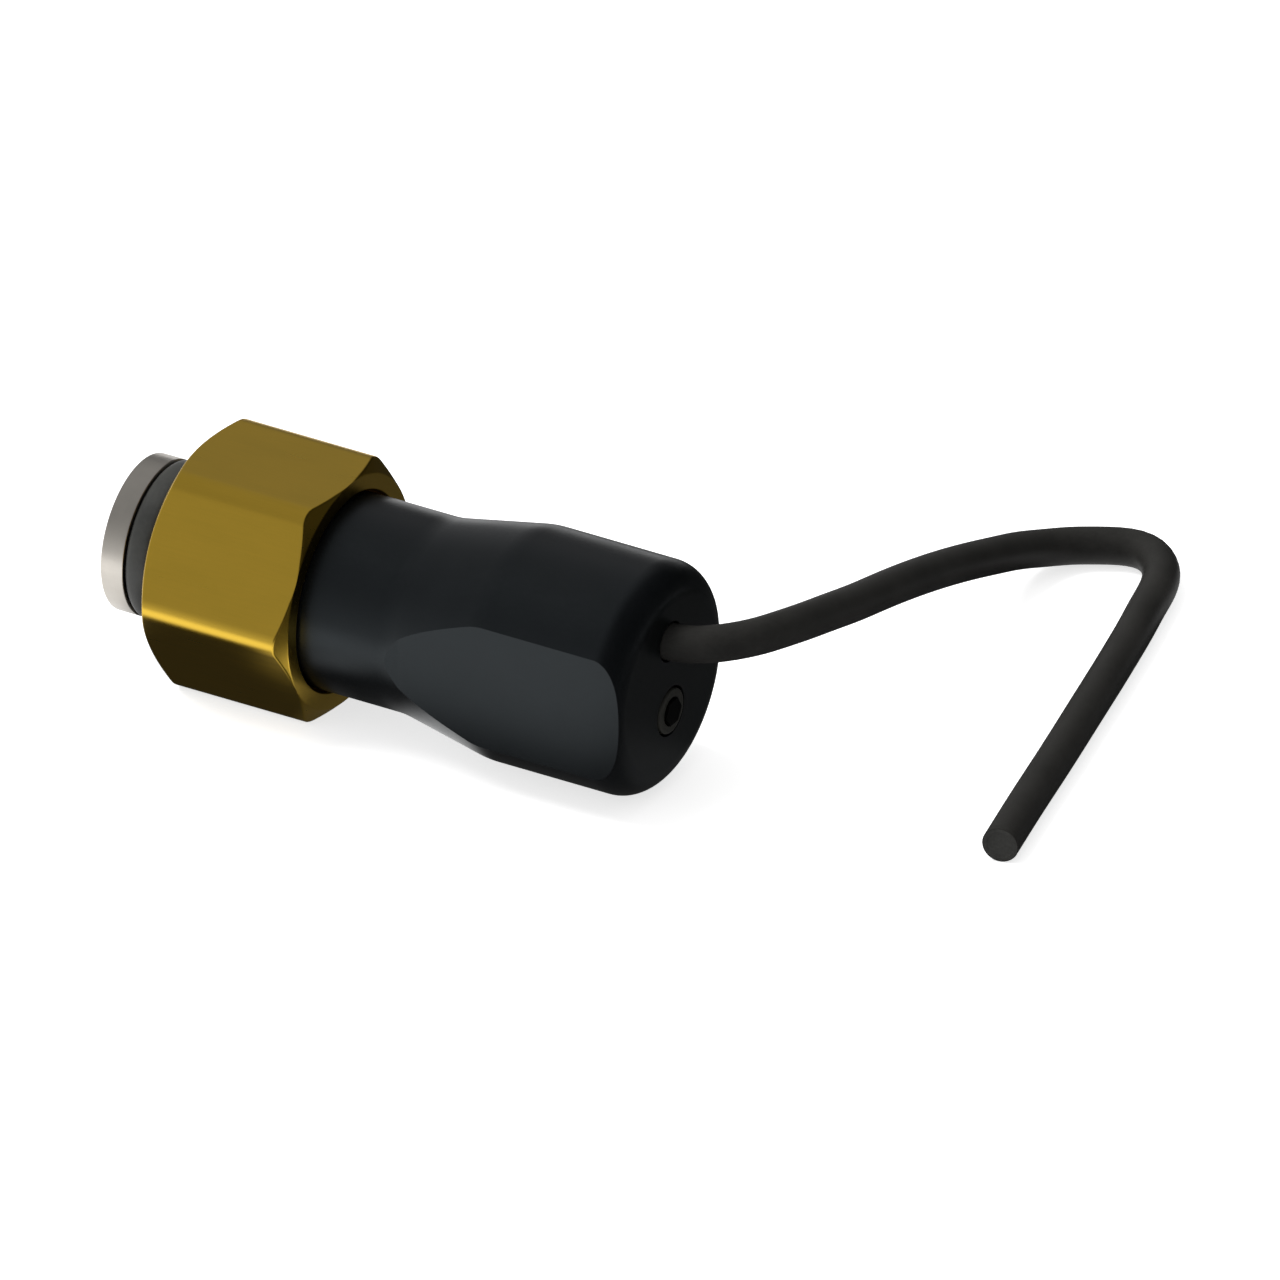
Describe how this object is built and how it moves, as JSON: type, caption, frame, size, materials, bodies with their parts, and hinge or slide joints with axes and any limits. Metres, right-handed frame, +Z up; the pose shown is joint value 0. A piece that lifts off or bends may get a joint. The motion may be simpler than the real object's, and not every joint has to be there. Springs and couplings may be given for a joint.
{
  "type": "uv sensor",
  "caption": "Screw-in ultraviolet sensor: windowed stainless head with O-ring, captive hexagon union nut, turned housing with spanner flats and a free cable.",
  "frame": {"origin": "On the floor under the middle of the sensor without its cable, as it lies level on a flat of its nut and the rear of its housing.", "axes": "+X along the sensor's axis from the sensing face to the rear face, +Z up."},
  "size_m": [0.1209, 0.0956, 0.03],
  "materials": {
    "stainless": "fine turned satin",
    "brass": "drawn bar, machined",
    "housing_plastic": "turned, semi-gloss black",
    "seal_rubber": "moulded, dull black",
    "cable_jacket": "extruded, soft sheen",
    "dark_steel": "blackened",
    "quartz": "polished",
    "filter_glass": "polished, deep violet",
    "sealing_plastic": "machined white plastic",
    "dark_plastic": "moulded black",
    "tinned_metal": "tin plated",
    "circuit_board": "solder resist on glass fibre",
    "wire_insulation": "extruded"
  },
  "bodies": {
    "sensor": {"sensor_head": "stainless", "seal_ring": "seal_rubber", "housing_seal": "seal_rubber", "window_gasket": "sealing_plastic", "quartz_window": "quartz", "window_retainer": "brass", "uv_filter": "filter_glass", "filter_gasket": "sealing_plastic", "aperture_stop": "dark_plastic", "photodiode": "tinned_metal", "photodiode_lead_left": "tinned_metal", "photodiode_lead_right": "tinned_metal", "diode_holder": "dark_plastic", "housing": "housing_plastic", "rear_screw": "dark_steel", "cable_bush": "seal_rubber", "cable_clamp": "tinned_metal", "board_carrier": "sealing_plastic", "circuit_board": "circuit_board", "amplifier_chip": "dark_plastic", "trimmer": "sealing_plastic", "capacitor_1": "tinned_metal", "capacitor_2": "tinned_metal", "resistor_1": "dark_plastic", "resistor_2": "dark_plastic", "resistor_3": "dark_plastic", "wire_plug": "sealing_plastic", "conductor_1": "wire_insulation", "conductor_2": "wire_insulation", "conductor_3": "wire_insulation", "cable": "cable_jacket"},
    "washer": {"slip_washer": "sealing_plastic"},
    "nut": {"union_nut": "brass"}
  },
  "joints": [
    {"name": "nut_slide", "type": "slide", "parent": "sensor", "child": "washer", "axis": [1, 0, 0], "range_m": [0, 0.0015]},
    {"name": "nut_spin", "type": "hinge", "parent": "washer", "child": "nut", "pos_m": [-0.0187, 0, 0.015], "axis": [1, 0, 0], "continuous": true}
  ]
}
